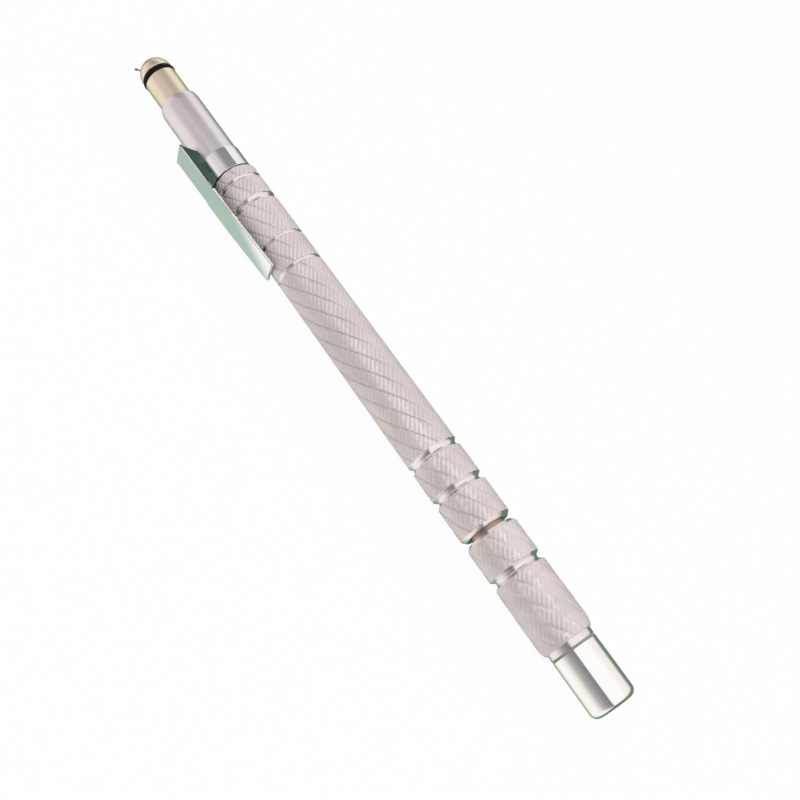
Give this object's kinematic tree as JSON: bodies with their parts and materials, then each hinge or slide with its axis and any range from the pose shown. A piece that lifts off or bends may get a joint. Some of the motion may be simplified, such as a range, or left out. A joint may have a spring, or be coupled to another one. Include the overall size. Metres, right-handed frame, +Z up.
{
  "type": "carbide scriber",
  "caption": "Pocket scriber with a fine carbide point in a brass nose that a twist of the knurled grip draws in, a pocket clip and a screwed tail cap.",
  "frame": {"origin": "centre of the flat end of the tail cap, on the tool's axis", "axes": "+X along the axis from the point to the tail, +Z up with the tool lying on its grips and on the edge of its clip, -Y to the clip's side"},
  "size_m": [0.1416, 0.0114, 0.0096],
  "materials": {
    "carbide": "ground, dark grey",
    "tool_steel": "plain",
    "polished_brass": "polished, pale",
    "plain_brass": "turned, dull",
    "black_rubber": "satin",
    "neck_steel": "satin, turned",
    "knurled_steel": "knurled, plated",
    "clip_chrome": "bright plated sheet",
    "cap_steel": "polished"
  },
  "bodies": {
    "handle": {"front_grip": "knurled_steel", "neck_sleeve": "neck_steel", "guide_pin": "tool_steel", "clip_washer": "black_rubber", "bearing_bush": "plain_brass"},
    "clip": {"pocket_clip": "clip_chrome"},
    "nose": {"nose_barrel": "polished_brass", "nose_o_ring": "black_rubber", "carrier_tube": "plain_brass", "drive_nut": "plain_brass", "point_stem": "tool_steel", "carbide_tip": "carbide"},
    "twist_grip": {"rear_grip": "knurled_steel", "drive_core": "plain_brass", "drive_bar": "tool_steel", "circlip": "tool_steel", "thrust_washer": "tool_steel", "drag_o_ring": "black_rubber"},
    "seal": {"cap_seal": "black_rubber"},
    "cap": {"tail_cap": "cap_steel"}
  },
  "joints": [
    {"name": "rear_twist", "type": "hinge", "parent": "handle", "child": "twist_grip", "pos_m": [-0.033, 0, 0], "axis": [1, 0, 0], "range_deg": [0, 180]},
    {"name": "nose_slide", "type": "slide", "parent": "handle", "child": "nose", "axis": [1, 0, 0], "range_m": [0, 0.012]},
    {"name": "clip_turn", "type": "hinge", "parent": "handle", "child": "clip", "pos_m": [-0.113, 0, 0], "axis": [1, 0, 0], "continuous": true},
    {"name": "cap_travel", "type": "slide", "parent": "twist_grip", "child": "seal", "axis": [1, 0, 0], "range_m": [0, 0.006]},
    {"name": "cap_turn", "type": "hinge", "parent": "seal", "child": "cap", "pos_m": [-0.005, 0, 0], "axis": [1, 0, 0], "range_deg": [0, 2880]}
  ],
  "couplings": [
    {"joint": "rear_twist", "follows": "nose_slide", "rad_per_m": 261.79},
    {"joint": "cap_turn", "follows": "cap_travel", "rad_per_m": 8377.5}
  ]
}
